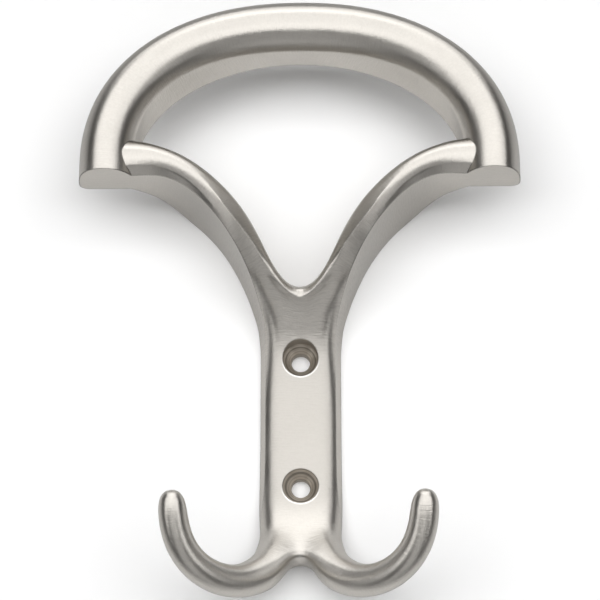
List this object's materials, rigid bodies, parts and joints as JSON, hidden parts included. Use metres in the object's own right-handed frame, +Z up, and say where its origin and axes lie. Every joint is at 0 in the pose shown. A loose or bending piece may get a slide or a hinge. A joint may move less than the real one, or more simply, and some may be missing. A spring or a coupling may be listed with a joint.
{
  "type": "coat hook",
  "caption": "Wall coat hook in one casting: slim stem that forks into deep arms under a domed arch bar, with curved round hooks below.",
  "frame": {"origin": "on the flat back of the stem, midway between the two screw holes", "axes": "+Z up along the stem, +Y into the wall, -Y toward the room, +X to the right as seen from the room"},
  "size_m": [0.1082, 0.034, 0.1496],
  "materials": {
    "satin_nickel": "satin brushed nickel, fine lines across the form"
  },
  "bodies": {
    "root": {"coat_hook": "satin_nickel"}
  },
  "joints": []
}
